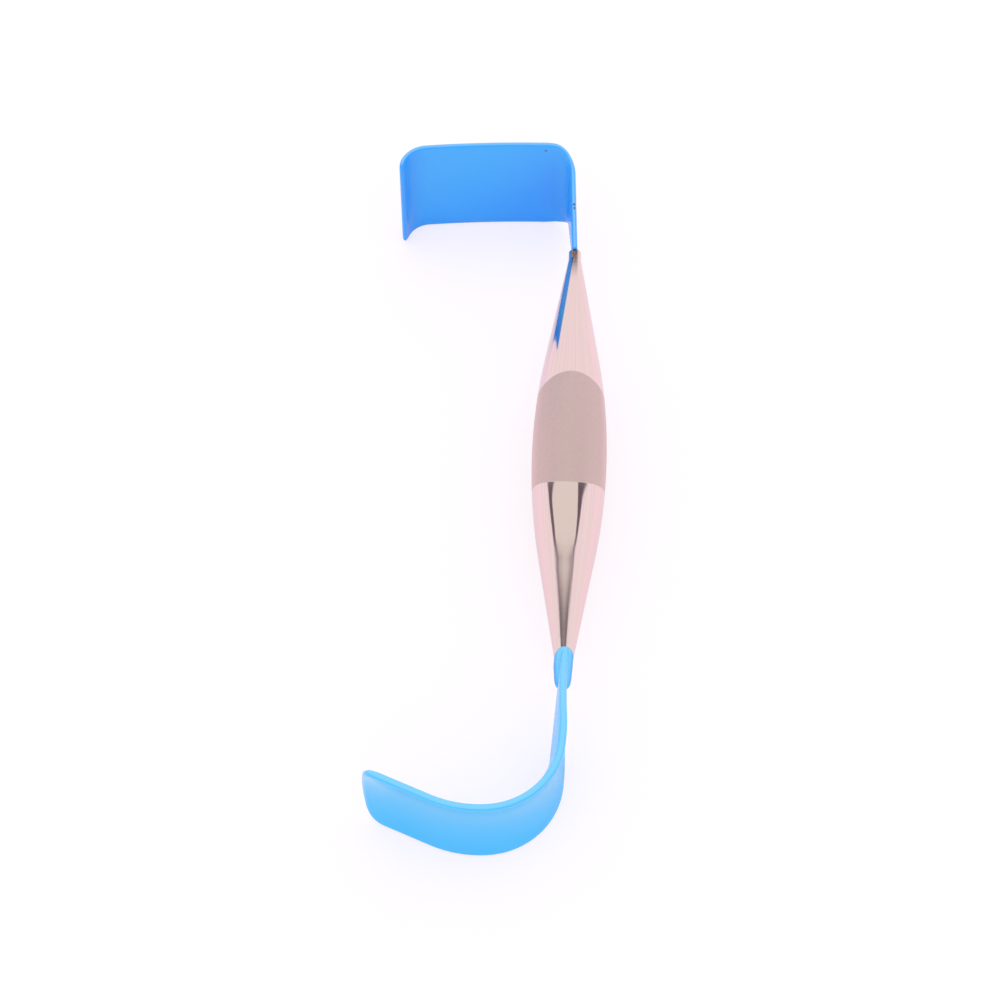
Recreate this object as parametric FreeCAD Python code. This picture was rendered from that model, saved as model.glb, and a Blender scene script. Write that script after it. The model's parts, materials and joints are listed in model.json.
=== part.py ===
import FreeCAD, Part
import math
import os
from FreeCAD import Vector

# A double-ended hand retractor, lying on its side as it rests on a table.
# A hollow steel spindle is the handle. A wide square blade with a curled lip stands at its +Y end
# and a curved, dished blade at its -Y end. Both blades point towards -X and are steel plates
# inside a moulded insulating coating. All sizes are in millimetres and degrees.

# Handle: a barrel in the middle, a long cone to each side and a slim nose at each end
handle_length = 179.0
handle_diameter = 26.6
cone_length = 64.8
nose_diameter = 4.6
nose_length = 4.0
nose_chamfer = 0.5
handle_wall = 1.0
plug_length = 27.0

# Both blades: steel plate, the coating on each face and the fit of the tangs
steel_thickness = 1.6
coating_thickness = 0.4
tang_depth = 15.0
tang_thickness = 1.2

# Wide blade, with its lip
wide_width = 48.4
wide_tang_width = 3.0
wide_neck_width = 7.0
wide_neck_length = 24.6
wide_neck_lean = 3.7
wide_bend_radius = 7.7
wide_bend_angle = 86.9
wide_blade_length = 47.2
wide_blade_bow = 6.0
wide_lip_radius = 10.1
wide_lip_angle = 79.4
wide_shoulder_radius = 14.0
wide_corner_radius = 6.5

# Curved blade, dished across its width
curved_width = 39.5
curved_tang_width = 4.4
curved_root_width = 7.4
curved_root_depth = 12.2
curved_neck_length = 29.4
curved_neck_lean = 4.0
curved_flare_length = 35.0
curved_bend_radius = 23.1
curved_bend_angle = 80.4
curved_reach_radius = 37.0
curved_reach_angle = 27.9
curved_tip_length = 23.9
curved_dish_radius = 67.0
curved_shoulder_radius = 24.0
curved_corner_radius = 7.0

# Coated cap, a slim bulb over the nose that holds the curved blade
cap_length = 10.0
cap_diameter = 6.8
cap_end_diameter = 5.8
cap_edge = 0.1
cap_rounding = 1.4

# Fineness of the stretches in which a blade changes its width
station_step = 3.0
station_turn = 8.0
corner_stations = 5
rim_angles = (0, 25, 50, 75)

# Worked-out values
plate_thickness = steel_thickness + 2 * coating_thickness
handle_end = handle_length / 2
nose_start = handle_end - nose_length
tiny = 1e-6
UP = Vector(0, 0, 1)


def direction(degrees):
    """A unit vector in the XY plane, measured from +X towards +Y."""
    angle = math.radians(degrees)
    return Vector(math.cos(angle), math.sin(angle), 0)


def left_of(heading):
    """The unit vector to the left of a heading."""
    return direction(heading + 90)


class Leg:
    """One stretch of a path, straight or turning evenly by an angle over its length."""

    def __init__(self, start, length, angle, point, heading):
        self.start = start
        self.length = length
        self.angle = angle
        self.point = point
        self.heading = heading

    def centre(self):
        """The point that a turning leg turns about."""
        return self.point + left_of(self.heading) * (self.length / math.radians(self.angle))

    def place(self, ahead):
        """The point and the heading at a distance along the leg."""
        if self.angle == 0:
            return self.point + direction(self.heading) * ahead, self.heading
        heading = self.heading + self.angle * ahead / self.length
        return self.centre() - left_of(heading) * (self.length / math.radians(self.angle)), heading

    def part(self, low, high):
        """The piece of the leg between two distances from the path's start."""
        point, heading = self.place(low - self.start)
        return Leg(low, high - low, self.angle * (high - low) / self.length, point, heading)

    def sweep(self, face):
        """The solid that a section face leaves behind along the leg."""
        if self.angle == 0:
            return face.extrude(direction(self.heading) * self.length)
        return face.revolve(self.centre(), UP, self.angle)


class Path:
    """Legs in the XY plane, one after another."""

    def __init__(self, point, heading):
        self.point = point
        self.heading = heading
        self.length = 0
        self.legs = []

    def straight(self, length):
        self.add(length, 0)

    def turn(self, radius, angle):
        """Turns left by a positive angle and right by a negative one."""
        self.add(radius * math.radians(abs(angle)), angle)

    def add(self, length, angle):
        leg = Leg(self.length, length, angle, self.point, self.heading)
        self.legs.append(leg)
        self.point, self.heading = leg.place(length)
        self.length += length

    def place(self, distance):
        """The point and the heading at a distance from the start."""
        leg = [leg for leg in self.legs if leg.start <= distance + tiny][-1]
        return leg.place(distance - leg.start)

    def between(self, start, end):
        """The legs from one distance to another, with the first and the last one shortened."""
        limits = [(leg, max(start, leg.start), min(end, leg.start + leg.length)) for leg in self.legs]
        return [leg.part(low, high) for leg, low, high in limits if high - low > tiny]


def face_line(start, middle, end, curvature):
    """The line of a plate's face across its width, bent where the plate is dished."""
    if curvature:
        return Part.Arc(start, middle, end).toShape()
    return Part.makeLine(start, end)


def edge_line(start, middle, end, rounded):
    """The line of a plate's edge from face to face, round or square."""
    if rounded:
        return Part.Arc(start, middle, end).toShape()
    return Part.makeLine(start, end)


def edge_points(point, heading, side, rise, half, curvature):
    """The face, middle and face points of one edge, in a plate whose edges bend to the left."""
    left = left_of(heading)
    lean = math.asin(curvature * rise)
    bend = curvature * rise ** 2 / (1 + math.cos(lean))
    centre = point + left * bend + UP * (side * rise)
    out = left * math.sin(lean) + UP * (side * math.cos(lean))
    across = UP * (side * math.sin(lean)) - left * math.cos(lean)
    return centre + across * half, centre + out * half, centre - across * half


def section(point, heading, rise, thickness, curvature, rounded):
    """A plate's section square across its path, whose two edges are centred at a height above and below."""
    half = thickness / 2
    top = edge_points(point, heading, 1, rise, half, curvature)
    low = edge_points(point, heading, -1, rise, half, curvature)
    side = left_of(heading) * half
    return Part.Wire([
        face_line(low[0], point - side, top[0], curvature),
        edge_line(top[0], top[1], top[2], rounded),
        face_line(top[2], point + side, low[2], curvature),
        edge_line(low[2], low[1], low[0], rounded),
    ])


class Blade:
    """A plate along a path: it flares out from its root, runs on at full width and has two round corners."""

    def __init__(self, path, root_heading, root_width, width):
        self.path = path
        self.root_heading = root_heading
        self.root_half = root_width / 2
        self.half = width / 2
        self.curvature = 0

    def flare(self, heading, length, shoulder_radius):
        """Widens evenly over a length measured along a heading, then rounds off to full width."""
        angle = math.atan2(self.half - self.root_half, length)
        tangent = shoulder_radius * math.tan(angle / 2)
        self.flare_heading = heading
        self.slope = math.tan(angle)
        self.shoulder_radius = shoulder_radius
        self.shoulder_start = length - tangent * math.cos(angle)
        self.shoulder_end = length + tangent

    def finish(self, corner_radius, curvature):
        self.corner_radius = corner_radius
        self.curvature = curvature

    def reach(self, distance):
        """How far ahead of the root, along the flare's heading, a distance on the path lies."""
        root = self.path.legs[0].point
        return (self.path.place(distance)[0] - root).dot(direction(self.flare_heading))

    def half_width(self, distance, inset):
        """Half the width at a distance on the path, for an outline set in all round."""
        remaining = self.path.length - distance
        corner = self.corner_radius
        if remaining < corner:
            bulge = (corner - inset) ** 2 - (corner - remaining) ** 2
            return self.half - corner + math.sqrt(max(0, bulge))
        return self.flared(self.reach(distance)) - inset

    def flared(self, reach):
        if reach < self.shoulder_start:
            return self.root_half + self.slope * reach
        if reach > self.shoulder_end:
            return self.half
        radius = self.shoulder_radius
        return self.half - radius + math.sqrt(radius ** 2 - (self.shoulder_end - reach) ** 2)

    def widening(self):
        """Distances from the root to where the full width is reached, closer together in bends."""
        distances = [0]
        for leg in self.path.legs:
            count = math.ceil(max(leg.length / station_step, abs(leg.angle) / station_turn))
            for step in range(1, count + 1):
                distances.append(leg.start + leg.length * step / count)
                if self.reach(distances[-1]) > self.shoulder_end:
                    return distances
        return distances

    def narrowing(self, inset, rim_radius):
        """Distances over the round corners, and on to the rounded rim where there is one."""
        corner = self.corner_radius
        angles = [90 * step / corner_stations for step in range(corner_stations + 1)]
        reaches = [corner - (corner - inset) * math.sin(math.radians(angle)) for angle in angles]
        over = [reach for reach in reaches if reach > rim_radius * 1.05]
        rim = [rim_radius * (1 - math.sin(math.radians(angle))) for angle in rim_angles if rim_radius]
        return [self.path.length - reach for reach in over + rim]

    def wire(self, distance, thickness, inset, rounded):
        """The section at a distance, thinner towards the very end if the rim is round."""
        point, heading = self.path.place(distance)
        if distance == 0:
            heading = self.root_heading
        remaining = self.path.length - distance
        radius = thickness / 2
        rise = self.half_width(distance, inset)
        if rounded:
            depth = max(0, radius - remaining)
            radius = math.sqrt(radius ** 2 - depth ** 2)
            rise -= radius
        return section(point, heading, rise, 2 * radius, self.curvature, rounded)

    def plate(self, thickness, inset, rounded):
        """The blade as a plate of one thickness."""
        def lofted(distances):
            wires = [self.wire(distance, thickness, inset, rounded) for distance in distances]
            return Part.makeLoft(wires, True, True)

        widening = self.widening()
        narrowing = self.narrowing(inset, thickness / 2 if rounded else 0)
        even = self.path.between(widening[-1], narrowing[0])
        faces = [Part.Face(self.wire(leg.start, thickness, inset, rounded)) for leg in even]
        swept = [leg.sweep(face) for leg, face in zip(even, faces)]
        return lofted(widening).multiFuse(swept + [lofted(narrowing)])


def wide_outline():
    """The wide blade, with its lip, outside the handle."""
    path = Path(Vector(0, handle_end, 0), 90 + wide_neck_lean)
    path.straight(wide_neck_length)
    bend_start = path.point
    path.turn(wide_bend_radius, wide_bend_angle)
    bend_end = path.point
    path.add(wide_blade_length, wide_blade_bow)
    path.turn(wide_lip_radius, wide_lip_angle)
    blade = Blade(path, 90, wide_neck_width, wide_width)
    chord = math.degrees(math.atan2(bend_end.y - bend_start.y, bend_end.x - bend_start.x))
    flare_length = (bend_end - path.legs[0].point).dot(direction(chord))
    blade.flare(chord, flare_length, wide_shoulder_radius)
    blade.finish(wide_corner_radius, 0)
    return blade


def curved_outline():
    """The curved blade, from its root inside the handle's cone."""
    path = Path(Vector(0, curved_root_depth - handle_end, 0), -90 - curved_neck_lean)
    path.straight(curved_root_depth + curved_neck_length)
    path.turn(curved_bend_radius, -curved_bend_angle)
    path.turn(curved_reach_radius, -curved_reach_angle)
    path.straight(curved_tip_length)
    blade = Blade(path, -90, curved_root_width, curved_width)
    blade.flare(-90, curved_flare_length, curved_shoulder_radius)
    blade.finish(curved_corner_radius, 1 / curved_dish_radius)
    return blade


def steel(blade, tang_width):
    """A blade's steel: a square-edged plate inside the coating, and a tang inside the handle."""
    root = blade.path.legs[0].point
    inwards = -math.copysign(1, root.y)
    ends = sorted([root.y + inwards * tang_depth, root.y - inwards * steel_thickness])
    corner = Vector(-tang_thickness / 2, ends[0], -tang_width / 2)
    tang = Part.makeBox(tang_thickness, ends[1] - ends[0], tang_width, corner)
    return blade.plate(steel_thickness, plate_thickness / 2, False).fuse(tang)


def coating(blade):
    """A blade's coating with a round rim, still filled by the steel."""
    return blade.plate(plate_thickness, 0, True)


def spun(edges):
    """A solid turned about the Y axis from edges that run from axis to axis."""
    first = edges[0].Vertexes[0].Point
    last = edges[-1].Vertexes[-1].Point
    face = Part.Face(Part.Wire(edges + [Part.makeLine(last, first)]))
    return face.revolve(Vector(0, 0, 0), Vector(0, 1, 0), 360)


def lines(points):
    """Straight edges through points given as distances along the axis and radii."""
    spots = [Vector(radius, along, 0) for along, radius in points]
    return [Part.makeLine(start, end) for start, end in zip(spots, spots[1:])]


def arc(start, middle, end):
    """A round edge through three points given as distances along the axis and radii."""
    return Part.Arc(*[Vector(radius, along, 0) for along, radius in (start, middle, end)]).toShape()


def cone_angle():
    """The angle between the handle's cones and its axis, in radians."""
    return math.atan2((handle_diameter - nose_diameter) / 2, cone_length)


def cone_radius(along):
    """The radius of the handle's cone at a distance from the handle's middle."""
    return nose_diameter / 2 + (nose_start - along) * math.tan(cone_angle())


def barrel_point(slant, depth):
    """A point on the barrel, or at a depth under it, where its surface slants by an angle."""
    barrel_radius = (nose_start - cone_length) / math.tan(cone_angle() / 2)
    radius = barrel_radius - depth
    return radius * math.sin(slant), handle_diameter / 2 - depth - radius * (1 - math.cos(slant))


def spindle():
    """The handle's outside as a solid, before it is hollowed and slotted."""
    nose = nose_diameter / 2
    barrel = [barrel_point(slant, 0) for slant in (-cone_angle(), 0, cone_angle())]
    tip = [(nose_start, nose), (handle_end - nose_chamfer, nose), (handle_end, nose - nose_chamfer), (handle_end, 0)]
    lower = [(-along, radius) for along, radius in reversed(tip)]
    return spun(lines(lower + [barrel[0]]) + [arc(*barrel)] + lines([barrel[2]] + tip))


def cavity():
    """The hollow inside the handle, between the two solid ends that hold the tangs."""
    end = handle_end - plug_length
    end_radius = cone_radius(end) - handle_wall / math.cos(cone_angle())
    middle = [barrel_point(slant, handle_wall) for slant in (-cone_angle() / 2, cone_angle() / 2)]
    return spun(lines([(-end, 0), (-end, end_radius)] + middle + [(end, end_radius), (end, 0)]))


def cap():
    """The coating's cap as a solid: a slim bulb over the nose."""
    top = handle_end - cap_length
    end = handle_end + coating_thickness
    top_radius = cone_radius(top) + cap_edge
    rim = (-end + cap_rounding, cap_end_diameter / 2)
    turned_in = cap_rounding * (1 - math.sqrt(0.5))
    corner = (-end + turned_in, rim[1] - turned_in)
    base = (-end, rim[1] - cap_rounding)
    bulb = arc(rim, ((rim[0] - top) / 2, cap_diameter / 2), (-top, top_radius))
    return spun(lines([(-end, 0), base]) + [arc(base, corner, rim), bulb] + lines([(-top, top_radius), (-top, 0)]))


def resting(shapes, wide, curved):
    """Tips the parts onto their blades' lower edges, over the origin."""
    lift = (wide_width - curved_width) / 2
    lowest = min(leg.point.y for leg in curved.path.legs)
    span = wide.path.legs[2].point.y - lowest
    turn = FreeCAD.Rotation(Vector(1, 0, 0), math.degrees(math.atan2(lift, span)))
    for shape in shapes.values():
        shape.Placement = FreeCAD.Placement(Vector(0, 0, 0), turn)
    box = Part.makeCompound(list(shapes.values())).optimalBoundingBox()
    shift = Vector(-box.Center.x, -box.Center.y, -box.ZMin)
    for shape in shapes.values():
        shape.Placement = FreeCAD.Placement(shift, turn)


def main():
    wide = wide_outline()
    curved = curved_outline()
    wide_steel = steel(wide, wide_tang_width)
    curved_steel = steel(curved, curved_tang_width)
    shapes = {
        "handle": spindle().cut(cavity()).cut(wide_steel).cut(curved_steel),
        "wide_blade": wide_steel,
        "curved_blade": curved_steel,
        "wide_blade_coating": coating(wide).cut(wide_steel),
        "curved_blade_coating": coating(curved).fuse(cap()).cut(spindle()).cut(curved_steel),
    }
    resting(shapes, wide, curved)
    os.makedirs("parts", exist_ok=True)
    for name, shape in shapes.items():
        shape.exportStep("parts/" + name + ".step")
        print(name, len(shape.Solids), shape.isValid(), round(shape.Volume, 1))


main()
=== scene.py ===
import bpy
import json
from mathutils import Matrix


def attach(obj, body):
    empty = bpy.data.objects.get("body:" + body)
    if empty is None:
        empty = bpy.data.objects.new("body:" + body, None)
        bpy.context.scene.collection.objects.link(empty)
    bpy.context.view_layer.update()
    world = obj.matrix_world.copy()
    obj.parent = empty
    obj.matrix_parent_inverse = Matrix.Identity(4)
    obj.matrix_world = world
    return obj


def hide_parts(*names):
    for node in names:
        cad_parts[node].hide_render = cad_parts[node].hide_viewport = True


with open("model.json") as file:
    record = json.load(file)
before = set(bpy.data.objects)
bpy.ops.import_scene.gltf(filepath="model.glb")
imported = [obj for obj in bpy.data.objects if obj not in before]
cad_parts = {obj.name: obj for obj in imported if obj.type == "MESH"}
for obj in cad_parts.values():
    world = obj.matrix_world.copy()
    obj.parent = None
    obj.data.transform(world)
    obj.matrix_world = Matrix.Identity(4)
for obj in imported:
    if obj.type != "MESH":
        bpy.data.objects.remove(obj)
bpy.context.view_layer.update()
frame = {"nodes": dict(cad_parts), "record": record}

import json
import math

import bmesh
import bpy
from mathutils import Matrix, Vector

bl_info = {
    "name": "Double-ended hand retractor",
    "version": (1, 0, 0),
    "blender": (4, 5, 0),
    "location": "3D View > Sidebar > Retractor",
    "description": "Finishes a steel hand retractor with coated blades and sets it on a studio table",
    "category": "Object",
}

MM = 0.001

# The handle on the table: its middle, the way it points and how far it is tipped
GRIP = frame["record"]["mounts"][0]
HANDLE_MIDDLE = Vector(GRIP["pos_m"])
HANDLE_AXIS = Vector(GRIP["axis"]).normalized()
TILT = Matrix.Rotation(math.atan2(HANDLE_AXIS.z, HANDLE_AXIS.y), 3, "X")
HANDLE_FRAME = Matrix.Translation(HANDLE_MIDDLE) @ TILT.to_4x4()
UP = Vector((0, 0, 1))

# How finely the coating is built: angles over a round rim, angles over a round corner, steps along
# a blade, columns across half of it and points around the cap
RIM_ANGLES = (0, 12, 24, 36, 48, 60, 75, 90)
CORNER_ANGLES = range(0, 90, 6)
STATION_STEP = 0.001
COLUMNS = 10
CAP_POINTS = 64

# How deep a blade's coating starts inside its root, how far the cap's inside lies under the nose's
# surface, and how long a stretch of a blade its end's bulge and skew shape
ROOT_OVERLAP = 0.0003
CAP_FIT = 0.0001
END_SHAPING = 0.015

# The cap's outline in millimetres. A row has a distance from the cap's edge and how far the cap
# stands out from the nose there. The last distance is where the cap is fully off the handle's axis
CAP_OUTLINE = (
    (0.0, 0.0), (0.25, 0.08), (0.8, 0.14), (1.5, 0.26), (2.2, 0.40), (3.3, 0.58), (4.5, 0.68), (5.7, 0.75),
    (7.0, 0.68), (8.0, 0.56), (9.0, 0.36), (10.0, 0.0), (10.8, -0.7), (11.3, -1.5), (11.5, -2.3),
)
CAP_SHIFT_REACH = 3.0

# Chips in the wide blade's coating, each along the handle from its middle, to its side and above it
WIDE_CHIPS = ((0.1031, -0.0009, 0.0112), (0.1018, -0.0008, 0.0106), (0.1202, -0.0120, 0.0211))

# The dark arch that the steel reflects. A row has how far a direction leans along the handle, and
# the angles around the handle, in degrees from straight up, where the arch's left limb starts and
# ends and where its right limb starts and ends
ARCH = (
    (0.100, -31, 4, -17, 20),
    (0.147, -35, -4, -9, 21),
    (0.153, -38, -13, 5, 24),
    (0.159, -39.5, -20.5, 12, 28),
    (0.166, -41, -27, 17.4, 30),
    (0.175, -43.5, -32.5, 22, 32),
    (0.190, -48.3, -37, 26.5, 34.5),
    (0.210, -52, -42, 29.3, 37.5),
    (0.280, -58.5, -46.8, 31.5, 42.5),
    (0.350, -65, -53, 29, 46.5),
    (0.380, -66.5, -48.5, 28, 53),
    (0.410, -72, -40, 25, 64),
)


class Value:
    """A node's output, which takes part in arithmetic."""

    def __init__(self, finish, socket):
        self.finish = finish
        self.socket = socket

    def __add__(self, other):
        return self.finish.math("ADD", self, other)

    __radd__ = __add__

    def __sub__(self, other):
        return self.finish.math("SUBTRACT", self, other)

    def __rsub__(self, other):
        return self.finish.math("SUBTRACT", other, self)

    def __mul__(self, other):
        return self.finish.math("MULTIPLY", self, other)

    __rmul__ = __mul__

    def __truediv__(self, other):
        return self.finish.math("DIVIDE", self, other)

    def __rtruediv__(self, other):
        return self.finish.math("DIVIDE", other, self)

    def __abs__(self):
        return self.finish.math("ABSOLUTE", self)

    def other(self, output):
        """Another output of the same node."""
        return Value(self.finish, self.socket.node.outputs[output])


class Finish:
    """The nodes of one material or of the studio's surroundings."""

    def __init__(self, owner):
        owner.use_nodes = True
        self.tree = owner.node_tree
        self.tree.nodes.clear()

    def add(self, kind, settings=None, values=None, output=0):
        """Makes a node with its settings, fills its sockets and gives one of its outputs."""
        node = self.tree.nodes.new(kind)
        for name, setting in (settings or {}).items():
            if name == "stops":
                self.set_stops(node.color_ramp, setting)
            else:
                setattr(node, name, setting)
        for name, value in (values or {}).items():
            if isinstance(value, Value):
                self.tree.links.new(value.socket, node.inputs[name])
            else:
                node.inputs[name].default_value = value
        return Value(self, node.outputs[output]) if node.outputs else None

    def set_stops(self, ramp, stops):
        for index, (position, tone) in enumerate(stops):
            element = ramp.elements[index] if index < 2 else ramp.elements.new(position)
            element.position = position
            element.color = tone

    def math(self, operation, *values):
        return self.add("ShaderNodeMath", {"operation": operation}, dict(enumerate(values)))

    def vector(self, operation, *values, output=0):
        return self.add("ShaderNodeVectorMath", {"operation": operation}, dict(enumerate(values)), output)

    def rise(self, value, start, end):
        """A smooth step from 0 to 1 between two values."""
        ends = {"Value": value, "From Min": start, "From Max": end}
        return self.add("ShaderNodeMapRange", {"interpolation_type": "SMOOTHSTEP"}, ends)

    def within(self, value, low, high, softness):
        """1 where a value lies well between two others, falling to 0 at both."""
        return self.rise(value - low, 0, softness) * self.rise(high - value, 0, softness)

    def distance(self, *parts):
        """How long a vector is, from its parts."""
        squares = [part * part for part in parts]
        return self.math("SQRT", sum(squares[1:], squares[0]))

    def mix(self, mask, first, second, blend="MIX"):
        """One colour where the mask is 0 and the other where it is 1."""
        settings = {"data_type": "RGBA", "blend_type": blend}
        return self.add("ShaderNodeMix", settings, {0: mask, 6: first, 7: second}, output=2)

    def ramp(self, value, stops):
        return self.add("ShaderNodeValToRGB", {"stops": stops}, {"Fac": value})

    def noise(self, place, scale, detail, roughness):
        values = {"Vector": place, "Scale": scale, "Detail": detail, "Roughness": roughness}
        return self.add("ShaderNodeTexNoise", {}, values)

    def relief(self, height, strength, depth):
        """Fine bumps in the surface."""
        return self.add("ShaderNodeBump", {}, {"Strength": strength, "Distance": depth, "Height": height})

    def place(self):
        """Where a point of the object is, in metres."""
        return self.add("ShaderNodeTexCoord", output="Object")

    def joined(self, x, y=0.0, z=0.0):
        """A vector from its parts."""
        return self.add("ShaderNodeCombineXYZ", {}, {0: x, 1: y, 2: z})

    def parts(self, vector):
        first = self.add("ShaderNodeSeparateXYZ", {}, {0: vector})
        return [first, first.other(1), first.other(2)]

    def surface(self, values):
        shader = self.add("ShaderNodeBsdfPrincipled", {}, values)
        self.add("ShaderNodeOutputMaterial", {}, {"Surface": shader})


def opaque(tone):
    """A colour with its full opacity."""
    return tuple(tone) + (1.0,)


def new_finish(name):
    material = bpy.data.materials.new(name)
    return material, Finish(material)


def dress(node, material):
    """Gives a solid of the frame its finish."""
    materials = frame["nodes"][node].data.materials
    materials.clear()
    materials.append(material)


def handle_parts(finish, vector):
    """A vector's parts along the handle, to its side and above it."""
    ways = (HANDLE_AXIS, Vector((1, 0, 0)), TILT @ UP)
    return [finish.vector("DOT_PRODUCT", vector, tuple(way), output="Value") for way in ways]


def along_handle(finish):
    """The place of a point along the handle from its middle, and its side and height there."""
    return handle_parts(finish, finish.vector("SUBTRACT", finish.place(), tuple(HANDLE_MIDDLE)))


def facing(finish):
    """How far the surface faces along the handle, to its side and up."""
    return handle_parts(finish, finish.add("ShaderNodeNewGeometry", output="Normal"))


def new_length(name, description, default):
    return bpy.props.FloatProperty(
        name=name, description=description, unit="LENGTH", precision=5, default=default)


def new_angle(name, description, degrees):
    return bpy.props.FloatProperty(
        name=name, description=description, subtype="ANGLE", default=math.radians(degrees))


def new_number(name, description, default):
    return bpy.props.FloatProperty(name=name, description=description, default=default)


def new_share(name, description, default):
    return bpy.props.FloatProperty(name=name, description=description, min=0, max=1, default=default)


def new_tone(name, description, default):
    return bpy.props.FloatVectorProperty(
        name=name, description=description, size=3, min=0, max=1, subtype="COLOR", default=default)


def new_place(name, description, default):
    return bpy.props.FloatVectorProperty(
        name=name, description=description, size=3, unit="LENGTH", default=default)


def bend(radius, angle):
    """A round stretch of a blade: its length and the angle it turns by."""
    return radius * abs(angle), angle


class WideBladeSettings(bpy.types.PropertyGroup):
    """The coated plate of the wide blade, from the handle's upper nose to the end of its lip."""

    root: new_length("Root", "Where the blade leaves the handle, from its middle", 0.0895)
    heading: new_angle("Heading", "Direction of the neck", 93.7)
    neck_length: new_length("Neck length", "Length of the straight neck", 0.0246)
    bend_radius: new_length("Bend radius", "Radius of the bend after the neck", 0.0077)
    bend_angle: new_angle("Bend angle", "Turn of the bend after the neck", 86.9)
    blade_length: new_length("Blade length", "Length from the bend to the lip", 0.0472)
    blade_bow: new_angle("Blade bow", "How far the blade turns over its length", 6.0)
    lip_radius: new_length("Lip radius", "Radius of the curled lip", 0.0101)
    lip_angle: new_angle("Lip angle", "Turn of the curled lip", 79.4)
    width: new_length("Width", "Full width of the blade", 0.0484)
    root_width: new_length("Root width", "Width where the blade leaves the handle", 0.0070)
    flare_heading: new_angle("Flare heading", "Direction in which the flare is measured", 137.15)
    flare_length: new_length("Flare length", "How far the blade takes to widen", 0.0266)
    shoulder_radius: new_length("Shoulder radius", "Rounding at the end of the flare", 0.012)
    corner_radius: new_length("Corner radius", "Rounding of the lip's corners", 0.0036)
    thickness: new_length("Thickness", "Thickness with the coating", 0.0021)
    rim_width: new_length("Rim width", "How far in from the outline the coating rounds off", 0.0019)
    offset: new_length("Offset", "How far the coating is thicker on the inner face", 0.00015)
    dish: new_number("Dish", "Curvature across the width, per metre", 0.0)
    end_bulge: new_length("End bulge", "How far the end's middle runs out", 0.0)
    end_skew: new_length("End skew", "How much further the end's lower corner reaches", 0.0010)

    def legs(self):
        """The blade's stretches, each with its length and the angle it turns by."""
        return (
            (self.neck_length, 0),
            bend(self.bend_radius, self.bend_angle),
            (self.blade_length, self.blade_bow),
            bend(self.lip_radius, self.lip_angle),
        )


class CurvedBladeSettings(bpy.types.PropertyGroup):
    """The coated plate of the curved blade, from inside the handle's lower cone to its tip."""

    root: new_length("Root", "Where the blade starts, from the handle's middle", -0.0773)
    heading: new_angle("Heading", "Direction of the neck", -94.0)
    neck_length: new_length("Neck length", "Length of the straight neck from the root", 0.0416)
    bend_radius: new_length("Bend radius", "Radius of the bend after the neck", 0.0231)
    bend_angle: new_angle("Bend angle", "Turn of the bend after the neck", -80.4)
    reach_radius: new_length("Reach radius", "Radius of the wider bend before the tip", 0.037)
    reach_angle: new_angle("Reach angle", "Turn of the wider bend before the tip", -27.9)
    tip_length: new_length("Tip length", "Length of the straight tip", 0.0239)
    width: new_length("Width", "Full width of the blade", 0.0395)
    root_width: new_length("Root width", "Width inside the handle's cone", 0.0074)
    flare_heading: new_angle("Flare heading", "Direction in which the flare is measured", -90.0)
    flare_length: new_length("Flare length", "How far the blade takes to widen", 0.035)
    shoulder_radius: new_length("Shoulder radius", "Rounding at the end of the flare", 0.024)
    corner_radius: new_length("Corner radius", "Rounding of the end's corners", 0.007)
    thickness: new_length("Thickness", "Thickness with the coating", 0.0026)
    rim_width: new_length("Rim width", "How far in from the outline the coating rounds off", 0.0017)
    offset: new_length("Offset", "How far the coating is thicker on the outer face", 0.0004)
    dish: new_number("Dish", "Curvature across the width, per metre", 14.93)
    end_bulge: new_length("End bulge", "How far the end's middle runs out", 0.00185)
    end_skew: new_length("End skew", "How much further the end's lower corner reaches", 0.0)

    def legs(self):
        """The blade's stretches, each with its length and the angle it turns by."""
        return (
            (self.neck_length, 0),
            bend(self.bend_radius, self.bend_angle),
            bend(self.reach_radius, self.reach_angle),
            (self.tip_length, 0),
        )


class CapSettings(bpy.types.PropertyGroup):
    """The coating's cap over the handle's lower nose."""

    edge: new_length("Edge", "Where the cap ends at the handle's sides, from its middle", -0.0802)
    climb: new_length("Climb", "How much further the cap climbs beside the blade's edges", 0.0033)
    climb_turn: new_angle("Climb turn", "Where around the handle the cap climbs furthest", 6)
    shift: new_length("Shift", "How far the cap sits off the handle's axis", -0.00015)
    nose_radius: new_length("Nose radius", "Radius of the handle's nose", 0.0023)
    nose_start: new_length("Nose start", "Where the nose meets the cone, from the handle's middle", -0.0855)
    nose_end: new_length("Nose end", "Where the nose ends, from the handle's middle", -0.0895)
    cone_slope: new_number("Cone slope", "How fast the cone widens", 0.1698)


class SteelSettings(bpy.types.PropertyGroup):
    """The handle's steel: its polish and its satin band."""

    polished_tone: new_tone("Polished tone", "Colour of the polished steel", (0.86, 0.64, 0.65))
    satin_tone: new_tone("Satin tone", "Colour of the satin band", (0.70, 0.52, 0.515))
    # A painted sheen: the satin band is painted lighter towards the handle's sides
    satin_sheen_gain: new_number("Satin sheen gain", "How much lighter the satin band is at the handle's sides", 1.12)
    # Colour of a dark reflection painted on the upper nose
    nose_reflection_tone: new_tone("Painted reflection tone", "Colour of the dark reflection painted on the upper nose", (0.10, 0.065, 0.07))
    polish_roughness: new_share("Polish roughness", "Roughness of the polished steel", 0.06)
    satin_roughness: new_share("Satin roughness", "Roughness of the satin band", 0.5)
    band_top: new_length("Band top", "The satin band's upper edge at the handle's sides", 0.0247)
    band_bottom: new_length("Band bottom", "The satin band's lower edge at the handle's sides", -0.0149)
    top_bulge: new_length("Top bulge", "How far the band's upper edge bows over the front and back", 0.0046)
    bottom_bulge: new_length("Bottom bulge", "How far its lower edge bows over the front and back", 0.0024)


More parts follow.
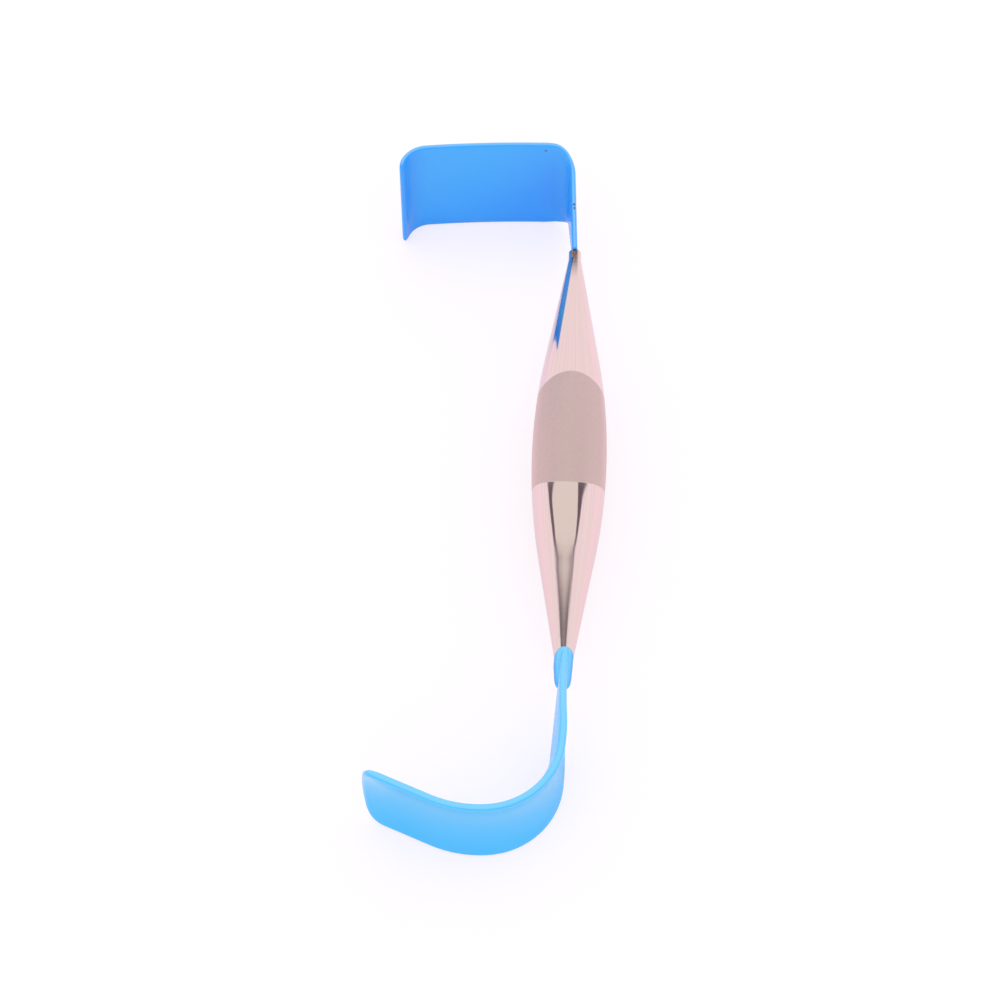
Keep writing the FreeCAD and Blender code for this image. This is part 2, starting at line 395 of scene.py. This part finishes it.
class CoatingSettings(bpy.types.PropertyGroup):
    """The moulded coating on both blades."""

    # Each blade's depth is how much deeper its painted shade makes the coating, towards the lower edges and
    # in the wide blade's lip
    wide_tone: new_tone("Wide blade tone", "Colour of the wide blade's coating", (0.03, 0.42, 1.0))
    wide_shade_depth: new_share("Wide blade shade", "How much deeper its colour is in its painted shade", 0.4)
    # The curved blade has the same coating as the wide one, painted lighter for the brighter light on it
    curved_lit_tone: new_tone("Curved blade lit tone", "Colour of the curved blade's coating, painted lighter for the brighter light on it", (0.05, 0.54, 1.0))
    curved_shade_depth: new_share("Curved blade shade", "How much deeper its colour is in its painted shade", 0.15)
    # The cap's two sides are painted darker as shade
    cap_shade_tone: new_tone("Cap shade tone", "Colour of the shade painted on the cap's two sides", (0.05, 0.30, 0.85))
    chip_tone: new_tone("Chip tone", "Colour of the chips", (0.03, 0.06, 0.16))
    # A painted highlight: the rims are painted lighter
    rim_highlight_gain: new_share("Rim highlight", "How much lighter the rims are painted, as a highlight", 0.12)
    roughness: new_share("Roughness", "Roughness of the coating", 0.22)


class StudioSettings(bpy.types.PropertyGroup):
    """The table, the lamp, the camera and the surroundings that the steel reflects."""

    elevation: new_angle("Elevation", "Camera's height angle over the instrument", 59.929)
    turn: new_angle("Turn", "Camera's angle around the instrument", -2.139)
    distance: new_length("Distance", "Camera's distance from its target", 0.8949)
    target: new_place("Target", "The camera's target, from the handle's middle", (-0.02393, -0.0183, 0.0))
    focal_length: new_number("Focal length", "Focal length on a 36 mm sensor, in millimetres", 91.6)
    table_size: new_length("Table size", "Length of the table's sides", 6.0)
    table_tone: new_tone("Table tone", "Colour of the table", (0.93, 0.89, 0.91))
    table_glow: new_tone("Table glow", "What the picture adds to the table's colour", (0.70, 0.67, 0.70))
    table_share: new_share("Table share", "How much of the table's own colour the picture shows", 0.35)
    lamp_place: new_place("Lamp place", "Where the lamp hangs over the table", (0.0, 0.1, 1.4))
    lamp_size: new_length("Lamp size", "Length of the lamp's sides", 1.6)
    lamp_power: bpy.props.FloatProperty(
        name="Lamp power", description="Power of the lamp", unit="POWER", default=3.5)
    ceiling_tone: new_tone("Ceiling tone", "Colour of the ceiling inside the arch", (0.84, 0.90, 0.80))
    arch_tone: new_tone("Arch tone", "Colour of the dark arch", (0.14, 0.13, 0.15))


def flat_direction(heading):
    """A unit vector in the plane that both blades bend in."""
    return Vector((math.cos(heading), math.sin(heading), 0))


def left_of(heading):
    """The unit vector to the left of a heading."""
    return flat_direction(heading + math.pi / 2)


class Blade:
    """A coated plate along its legs, each straight or evenly turning, that widens from its root."""

    def __init__(self, sizes):
        self.sizes = sizes
        self.legs = sizes.legs()
        self.length = sum(length for length, angle in self.legs)
        self.start = Vector((0, sizes.root, 0))
        self.flare = flat_direction(sizes.flare_heading)
        self.flare_angle = math.atan2(sizes.width / 2 - sizes.root_width / 2, sizes.flare_length)

    def place(self, distance):
        """The point and the heading at a distance from the root, straight on past the last leg."""
        point, heading = self.start.copy(), self.sizes.heading
        for length, angle in self.legs:
            ahead = min(distance, length)
            if angle:
                radius = length / angle
                centre = point + left_of(heading) * radius
                heading += angle * ahead / length
                point = centre - left_of(heading) * radius
            else:
                point += flat_direction(heading) * ahead
            distance -= ahead
            if distance <= 0:
                return point, heading
        return point + flat_direction(heading) * distance, heading

    def full_width(self, distance):
        """Half the width at a distance, before the end's corners are rounded."""
        sizes = self.sizes
        reach = (self.place(distance)[0] - self.start).dot(self.flare)
        tangent = sizes.shoulder_radius * math.tan(self.flare_angle / 2)
        begin = sizes.flare_length - tangent * math.cos(self.flare_angle)
        end = sizes.flare_length + tangent
        if reach < begin:
            return sizes.root_width / 2 + math.tan(self.flare_angle) * reach
        drop = sizes.shoulder_radius ** 2 - max(0, end - reach) ** 2
        return sizes.width / 2 - sizes.shoulder_radius + math.sqrt(drop)

    def half_width(self, distance):
        """Half the width at a distance, with the end's round corners."""
        corner = self.sizes.corner_radius
        inwards = max(0, corner - (self.length - distance))
        return self.full_width(distance) - corner + math.sqrt(corner ** 2 - inwards ** 2)

    def edge_distance(self, distance, across):
        """How far a point of the plate lies in from its outline."""
        corner = self.sizes.corner_radius
        ahead = STATION_STEP / 2
        slope = (self.full_width(distance + ahead) - self.full_width(distance)) / ahead
        side = (self.full_width(distance) - abs(across)) / math.hypot(1, slope)
        end = self.length - distance
        if side < corner and end < corner:
            return max(0, corner - math.hypot(corner - side, corner - end))
        return max(0, min(side, end))

    def height(self, inset):
        """Half the thickness at a distance in from the outline, round towards it."""
        depth = 1 - min(1, inset / self.sizes.rim_width)
        return self.sizes.thickness / 2 * math.sqrt(1 - depth * depth)

    def end_reach(self, distance, across):
        """How much further a point near the blade's end reaches, where the end bulges or is skewed."""
        sizes = self.sizes
        ending = max(0, 1 - (self.length - distance) / END_SHAPING) ** 1.5
        level = across / (sizes.width / 2 - 0.7 * sizes.corner_radius)
        lower = 0.5 - across / sizes.width
        return ending * (sizes.end_bulge * max(0, 1 - level * level) + sizes.end_skew * lower)

    def point(self, distance, across, side):
        """A point on one face of the plate, which is dished and shaped at its end."""
        sizes = self.sizes
        spot, heading = self.place(distance + self.end_reach(distance, across))
        left = left_of(heading)
        lean = math.asin(across * sizes.dish)
        bow = (1 - math.cos(lean)) / sizes.dish if sizes.dish else 0
        face = left * math.cos(lean) - UP * math.sin(lean)
        lift = sizes.offset + side * self.height(self.edge_distance(distance, across))
        return spot + left * bow + UP * across + face * lift

    def rim_insets(self):
        """Distances in from the outline, close together at the outline."""
        return [self.sizes.rim_width * (1 - math.cos(math.radians(angle))) for angle in RIM_ANGLES]

    def stations(self):
        """Distances from the root to the end, close together at the rounded end."""
        corner = self.sizes.corner_radius
        steps = [corner * (1 - math.sin(math.radians(angle))) for angle in CORNER_ANGLES]
        even = round((self.length - corner) / STATION_STEP)
        run = [-ROOT_OVERLAP] + [(self.length - corner) * step / even for step in range(even)]
        near = sorted(self.length - step for step in {round(step, 7) for step in self.rim_insets() + steps})
        return run + [distance for distance in near if distance > run[-1] + STATION_STEP / 5]

    def across(self, distance):
        """Positions across the width, close together at both rims."""
        half = self.half_width(distance)
        rim = [half - inset for inset in self.rim_insets()]
        upper = rim + [rim[-1] * (1 - step / COLUMNS) for step in range(1, COLUMNS)]
        return upper + [0.0] + [-value for value in reversed(upper)]

    def build(self, mesh):
        """Adds both faces of the plate and its root's end to a mesh."""
        rows = [(distance, self.across(distance)) for distance in self.stations()]
        sheets = []
        for side in (1, -1):
            sheets.append([[mesh.verts.new(self.point(distance, value, side)) for value in row]
                           for distance, row in rows])
            add_sheet(mesh, sheets[-1], side > 0)
        add_sheet(mesh, [sheets[1][0], sheets[0][0]], True)


class Cap:
    """The coating's cap, which climbs the handle's nose beside the blade's edges."""

    def __init__(self, sizes):
        self.sizes = sizes

    def nose_radius(self, along):
        """The radius of the handle's lower cone and nose at a place along the handle."""
        sizes = self.sizes
        return sizes.nose_radius + max(0.0, along - sizes.nose_start) * sizes.cone_slope

    def ring(self, mesh, climb, reach, lift, shift):
        """Points around the handle, at a distance from the cap's edge and lifted off the nose."""
        sizes = self.sizes
        points = []
        for step in range(CAP_POINTS + 1):
            around = 2 * math.pi * (step % CAP_POINTS) / CAP_POINTS
            along = sizes.edge + climb * abs(math.cos(around - sizes.climb_turn)) - reach
            radius = max(0.0, self.nose_radius(along) + lift)
            spot = (math.sin(around) * radius + shift, along, math.cos(around) * radius)
            points.append(mesh.verts.new(spot))
        return points

    def build(self, mesh):
        """Adds the cap to a mesh: from inside the nose's end up to the edge, and down over the nose."""
        sizes = self.sizes
        nose_end = sizes.edge - sizes.nose_end
        rings = [
            self.ring(mesh, 0, nose_end, -sizes.nose_radius, 0),
            self.ring(mesh, 0, nose_end, -CAP_FIT, 0),
            self.ring(mesh, sizes.climb, 0, -CAP_FIT, 0),
        ]
        for reach, lift in CAP_OUTLINE:
            climb = sizes.climb * (1 - reach / CAP_OUTLINE[-1][0])
            shift = sizes.shift * min(1, reach / CAP_SHIFT_REACH)
            rings.append(self.ring(mesh, climb, reach * MM, lift * MM, shift))
        add_sheet(mesh, rings, False)


def add_sheet(mesh, rows, turned):
    """Fills the gaps between rows of points with four-sided faces."""
    for low, high in zip(rows, rows[1:]):
        for start in range(len(low) - 1):
            corners = [low[start], low[start + 1], high[start + 1], high[start]]
            mesh.faces.new(corners if turned else corners[::-1])


def add_coating(node, material, forms):
    """The smooth coating of one blade, which stands for the part's own solid."""
    mesh = bmesh.new()
    for form in forms:
        form.build(mesh)
    bmesh.ops.remove_doubles(mesh, verts=mesh.verts, dist=1e-7)
    bmesh.ops.recalc_face_normals(mesh, faces=mesh.faces)
    mesh.transform(HANDLE_FRAME)
    data = bpy.data.meshes.new(material.name)
    mesh.to_mesh(data)
    mesh.free()
    data.shade_smooth()
    data.materials.append(material)
    piece = bpy.data.objects.new(material.name, data)
    bpy.context.scene.collection.objects.link(piece)
    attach(piece, "root")
    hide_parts(node)


def satin_band(finish, steel, along, front, grain):
    """1 on the satin band, whose two edges bow out over the handle's front and back."""
    softness = 0.0002
    bow = front * front
    ragged = (grain - 0.5) * 0.0004
    above = along - bow * steel.top_bulge - steel.band_top + ragged
    below = steel.band_bottom - bow * steel.bottom_bulge - along + ragged
    return (1 - finish.rise(above, -softness, softness)) * (1 - finish.rise(below, -softness, softness))


def painted_nose_reflection(finish, along, side, height):
    """How dark the steel is along the narrow dark reflection painted on the upper nose, mottled."""
    mottle = finish.rise(finish.noise(finish.place(), 1500.0, 2.0, 0.7), 0.35, 0.65)
    streak = (1 - finish.rise(abs(side + 0.0001), 0.0006, 0.0017)) * finish.rise(along, 0.0735, 0.0880)
    return streak * (0.75 + mottle * 0.25) * finish.rise(abs(height), 0, 0.001)


def handle_finish(steel):
    """Polished steel with a satin band, finely grained around the handle, with a painted sheen on the
    band's sides and a painted dark reflection on the upper nose.
    """
    material, finish = new_finish("Polished and satin steel")
    along, side, height = along_handle(finish)
    radius = finish.distance(side, height)
    grain = finish.noise(finish.place(), 900.0, 3.0, 0.6)
    band = satin_band(finish, steel, along, abs(height) / radius, grain)
    lines = finish.noise(finish.joined(side * 60, along * 2500, height * 60), 1.0, 3.0, 0.6)
    smudges = finish.noise(finish.place(), 45.0, 2.0, 0.5)
    roughened = steel.satin_roughness - steel.polish_roughness + (grain - 0.5) * 0.12
    roughness = steel.polish_roughness + smudges * 0.04 + lines * 0.02 + band * roughened
    # Painted sheen: the satin band is painted lighter towards the handle's sides
    satin_sheen_tone = [part * steel.satin_sheen_gain for part in steel.satin_tone]
    sides = finish.rise(abs(side) / radius, 0.80, 0.99)
    satin = finish.mix(sides, opaque(steel.satin_tone), opaque(satin_sheen_tone))
    tone = finish.mix(band, opaque(steel.polished_tone), satin)
    speckled = finish.ramp(grain * band + (1 - band), [(0.3, (0.93, 0.93, 0.93, 1)), (0.7, (1, 1, 1, 1))])
    shaded = finish.mix(1.0, tone, speckled, "MULTIPLY")
    # A dark reflection painted along the top of the upper nose
    mark = painted_nose_reflection(finish, along, side, height)
    finish.surface({
        "Base Color": finish.mix(mark, shaded, opaque(steel.nose_reflection_tone)), "Metallic": 1.0,
        "Roughness": roughness, "Normal": finish.relief(grain * band, 0.06, 0.0001)})
    return material


def blade_steel_finish():
    """The plain satin steel of the plates inside the coating."""
    material, finish = new_finish("Blade steel")
    grain = finish.noise(finish.place(), 700.0, 3.0, 0.6)
    tone = finish.ramp(grain, [(0.3, (0.42, 0.40, 0.40, 1)), (0.7, (0.52, 0.50, 0.50, 1))])
    finish.surface({"Base Color": tone, "Metallic": 1.0, "Roughness": 0.35 + grain * 0.15})
    return material


def painted_shade_tone(finish, spot, cloud, tone, deep):
    """The coating's colour with painted shade: deeper towards the lower edges and in the bend of the wide
    blade's lip.
    """
    along, side, height = spot
    # Painted shade, deeper towards the lower edges
    low = finish.rise(side * 0.6 - height + (cloud - 0.5) * 0.02, -0.045, 0.02)
    # Painted shade in the bend of the wide blade's lip
    lip = (1 - finish.rise(side, -0.0640, -0.0560)) * finish.rise(along, 0.09, 0.10) * 0.8
    with_painted_shade = finish.mix(finish.math("MAXIMUM", low, lip), opaque(tone), opaque(deep))
    return finish.mix(finish.rise(cloud, 0.35, 0.65) * 0.4 * (1 - lip), with_painted_shade, opaque(tone))


def painted_rim_light(finish, level, middle, deep, pale):
    """Adds a painted shade line beside the rims and a painted highlight over them, by how far the surface
    faces up or down.
    """
    # A painted shade line beside the rims
    line = finish.rise(level, 0.32, 0.42) * (1 - finish.rise(level, 0.50, 0.68)) * 0.6
    return finish.mix(finish.rise(level, 0.55, 0.85), finish.mix(line, middle, opaque(deep)), opaque(pale))


def cap_shade_mask(finish, spot, faces_side):
    """1 on the two sides of the cap, where a darker shade is painted."""
    along, side, height = spot
    turned = finish.rise(abs(faces_side), 0.72, 0.98) * (1 - finish.rise(abs(height), 0.0022, 0.0032))
    return turned * finish.rise(along, -0.0925, -0.0890) * (1 - finish.rise(along, -0.01, 0))


def chip_mask(finish, spot, chip):
    """1 on a small chip with a ragged edge."""
    grit = finish.noise(finish.place(), 2600.0, 2.0, 0.7)
    far = finish.distance(*[value - centre for value, centre in zip(spot, chip)])
    return 1 - finish.rise(far + (grit - 0.5) * 0.0012, 0.00030, 0.00055)


def coating_finish(coating, name, tone, depth, chips):
    """Glossy moulded coating with painted light: a painted highlight over the rims, painted shade beside
    the rims, towards the lower edges, in the lip's bend and on the cap's sides, and a few dark chips.
    """
    material, finish = new_finish(name)
    spot = along_handle(finish)
    faces_side, faces_up = facing(finish)[1:]
    cloud = finish.noise(finish.place(), 28.0, 3.0, 0.5)
    peel = finish.noise(finish.place(), 260.0, 2.0, 0.5)
    # The deep colour is the painted shade, here and in the line beside the rims
    deep = (tone[0] * (1 - depth), tone[1] * (1 - depth * 0.5), tone[2])
    # The pale colour is the painted highlight over the rims
    pale = [part + (1 - part) * coating.rim_highlight_gain for part in tone]
    clouded = painted_shade_tone(finish, spot, cloud, tone, deep)
    tinted = painted_rim_light(finish, abs(faces_up), clouded, deep, pale)
    # Painted shade on the cap's two sides
    tinted = finish.mix(cap_shade_mask(finish, spot, faces_side), tinted, opaque(coating.cap_shade_tone))
    for chip in chips:
        tinted = finish.mix(chip_mask(finish, spot, chip), tinted, opaque(coating.chip_tone))
    finish.surface({
        "Base Color": tinted, "Roughness": coating.roughness + (cloud - 0.5) * 0.06,
        "Normal": finish.relief(peel, 0.12, 0.0002), "IOR": 1.5,
        "Coat Weight": 0.25, "Coat Roughness": 0.08})
    return material


class RETRACTOR_OT_handle(bpy.types.Operator):
    """Gives the hollow handle its polish and its satin band"""

    bl_idname = "retractor.handle"
    bl_label = "Finish the handle"

    def execute(self, context):
        dress("handle", handle_finish(context.scene.retractor_steel))
        return {"FINISHED"}


class RETRACTOR_OT_blades(bpy.types.Operator):
    """Gives the steel of both blades its finish"""

    bl_idname = "retractor.blades"
    bl_label = "Finish the blades"

    def execute(self, context):
        material = blade_steel_finish()
        for node in ("wide_blade", "curved_blade"):
            dress(node, material)
        return {"FINISHED"}


class RETRACTOR_OT_coatings(bpy.types.Operator):
    """Builds the smooth coating of both blades, with its colour and gloss"""

    bl_idname = "retractor.coatings"
    bl_label = "Coat the blades"

    def execute(self, context):
        scene = context.scene
        coating = scene.retractor_coating
        wide = coating_finish(
            coating, "smooth_wide_blade_coating", coating.wide_tone, coating.wide_shade_depth, WIDE_CHIPS)
        add_coating("wide_blade_coating", wide, [Blade(scene.retractor_wide_blade)])
        # The curved blade's lighter tone is painted light
        curved = coating_finish(
            coating, "smooth_curved_blade_coating", coating.curved_lit_tone, coating.curved_shade_depth, ())
        forms = [Blade(scene.retractor_curved_blade), Cap(scene.retractor_cap)]
        add_coating("curved_blade_coating", curved, forms)
        return {"FINISHED"}


def add_table(studio):
    """A large pale table top under the instrument."""
    bpy.ops.mesh.primitive_plane_add(size=studio.table_size)
    table = bpy.context.object
    table.name = "table"
    material, finish = new_finish("Pale table")
    seen = finish.add("ShaderNodeLightPath", output="Is Camera Ray")
    shown = [part * studio.table_share for part in studio.table_tone]
    finish.surface({
        "Base Color": finish.mix(seen, opaque(studio.table_tone), opaque(shown)),
        "Roughness": 1.0, "Specular IOR Level": 0.0,
        "Emission Color": finish.mix(seen, (0, 0, 0, 1), opaque(studio.table_glow)),
        "Emission Strength": 1.0})
    table.data.materials.append(material)


def add_lamp(studio):
    """A broad soft lamp over the instrument, which the steel doesn't reflect."""
    data = bpy.data.lights.new("Overhead lamp", "AREA")
    data.shape = "SQUARE"
    data.size = studio.lamp_size
    data.energy = studio.lamp_power
    lamp = bpy.data.objects.new("Overhead lamp", data)
    lamp.visible_glossy = False
    lamp.location = studio.lamp_place
    lamp.rotation_euler = (-Vector(studio.lamp_place)).to_track_quat("-Z", "Y").to_euler()
    bpy.context.scene.collection.objects.link(lamp)


def arch_masks(finish, along, around):
    """Where the dark arch is and where its inside is, for directions along and around the handle."""
    stops = [(lean, tuple(angle / 180 + 0.5 for angle in ends)) for lean, *ends in ARCH]
    ends = finish.ramp(along, stops)
    left_start, left_end, right_start = finish.parts(ends)
    softness = 0.01
    left = finish.within(around, left_start, left_end, softness)
    right = finish.within(around, right_start, ends.other("Alpha"), softness)
    inside = finish.within(around, left_end, right_start, softness)
    covered = finish.rise(along, 0.105, 0.115) * (1 - finish.rise(along, 0.405, 0.425))
    return finish.math("MAXIMUM", left, right) * covered, inside * covered


def streaked_ceiling(finish, around):
    """The pale ceiling outside the arch, streaked along the handle and slightly tinted."""
    streaks = finish.noise(finish.joined(around * 50), 1.0, 4.0, 0.7)
    tints = finish.noise(finish.joined(around * 45, 7.0), 1.0, 2.0, 0.6)
    bright = finish.mix(finish.rise(tints, 0.40, 0.62), (1.12, 1.08, 1.08, 1), (1.00, 1.10, 1.02, 1))
    return finish.mix(finish.rise(streaks, 0.30, 0.60), (0.74, 0.74, 0.77, 1), bright)


def add_surroundings(studio):
    """White surroundings with a beige ceiling and a dark arch, which the steel reflects."""
    world = bpy.data.worlds.new("Studio")
    bpy.context.scene.world = world
    finish = Finish(world)
    along, side, height = handle_parts(finish, finish.add("ShaderNodeTexCoord", output="Generated"))
    around = finish.math("ARCTAN2", side, height) * (1 / math.pi) + 0.5
    arch, inside = arch_masks(finish, along, around)
    ceiling = finish.mix(inside, streaked_ceiling(finish, around), opaque(studio.ceiling_tone))
    reflected = finish.mix(arch, ceiling, opaque(studio.arch_tone))
    glossy = finish.add("ShaderNodeLightPath", output="Is Glossy Ray")
    light = finish.mix(glossy, (1.0, 0.98, 0.99, 1), reflected)
    shown = finish.mix(glossy.other("Is Camera Ray"), light, (1, 1, 1, 1))
    background = finish.add("ShaderNodeBackground", {}, {"Color": shown, "Strength": 1.0})
    finish.add("ShaderNodeOutputWorld", {}, {"Surface": background})


def add_camera(studio):
    """The camera, placed from the handle's middle."""
    level = math.cos(studio.elevation)
    drop = math.sin(studio.elevation)
    right = Vector((math.cos(studio.turn), -math.sin(studio.turn), 0))
    ahead = Vector((math.sin(studio.turn) * level, math.cos(studio.turn) * level, -drop))
    up = right.cross(ahead)
    place = HANDLE_MIDDLE + TILT @ (Vector(studio.target) - ahead * studio.distance)
    turn = TILT @ Matrix((right, up, -ahead)).transposed()
    data = bpy.data.cameras.new("Camera")
    data.lens = studio.focal_length
    data.sensor_width = 36.0
    data.clip_start = 0.01
    data.clip_end = 50.0
    camera = bpy.data.objects.new("Camera", data)
    camera.matrix_world = Matrix.Translation(place) @ turn.to_4x4()
    bpy.context.scene.collection.objects.link(camera)
    bpy.context.scene.camera = camera


class RETRACTOR_OT_stage(bpy.types.Operator):
    """Sets the table, the lamp, the surroundings and the camera around the instrument"""

    bl_idname = "retractor.stage"
    bl_label = "Set the stage"

    def execute(self, context):
        studio = context.scene.retractor_studio
        add_table(studio)
        add_lamp(studio)
        add_surroundings(studio)
        add_camera(studio)
        context.scene.view_settings.view_transform = "Standard"
        return {"FINISHED"}


class RETRACTOR_PT_panel(bpy.types.Panel):
    """The retractor's pieces and settings"""

    bl_idname = "RETRACTOR_PT_panel"
    bl_label = "Retractor"
    bl_space_type = "VIEW_3D"
    bl_region_type = "UI"
    bl_category = "Retractor"

    def draw(self, context):
        for name, group in SETTINGS.items():
            box = self.layout.box()
            for setting in group.__annotations__:
                box.prop(getattr(context.scene, name), setting)
        for operator in OPERATORS:
            self.layout.operator(operator.bl_idname)


SETTINGS = {
    "retractor_wide_blade": WideBladeSettings,
    "retractor_curved_blade": CurvedBladeSettings,
    "retractor_cap": CapSettings,
    "retractor_steel": SteelSettings,
    "retractor_coating": CoatingSettings,
    "retractor_studio": StudioSettings,
}
OPERATORS = (RETRACTOR_OT_handle, RETRACTOR_OT_blades, RETRACTOR_OT_coatings, RETRACTOR_OT_stage)
CLASSES = tuple(SETTINGS.values()) + OPERATORS + (RETRACTOR_PT_panel,)


def register():
    for item in CLASSES:
        bpy.utils.register_class(item)
    for name, group in SETTINGS.items():
        setattr(bpy.types.Scene, name, bpy.props.PointerProperty(type=group))


def unregister():
    for name in SETTINGS:
        delattr(bpy.types.Scene, name)
    for item in reversed(CLASSES):
        bpy.utils.unregister_class(item)


def main():
    register()
    bpy.ops.retractor.handle()
    bpy.ops.retractor.blades()
    bpy.ops.retractor.coatings()
    bpy.ops.retractor.stage()


if __name__ == "__main__":
    main()
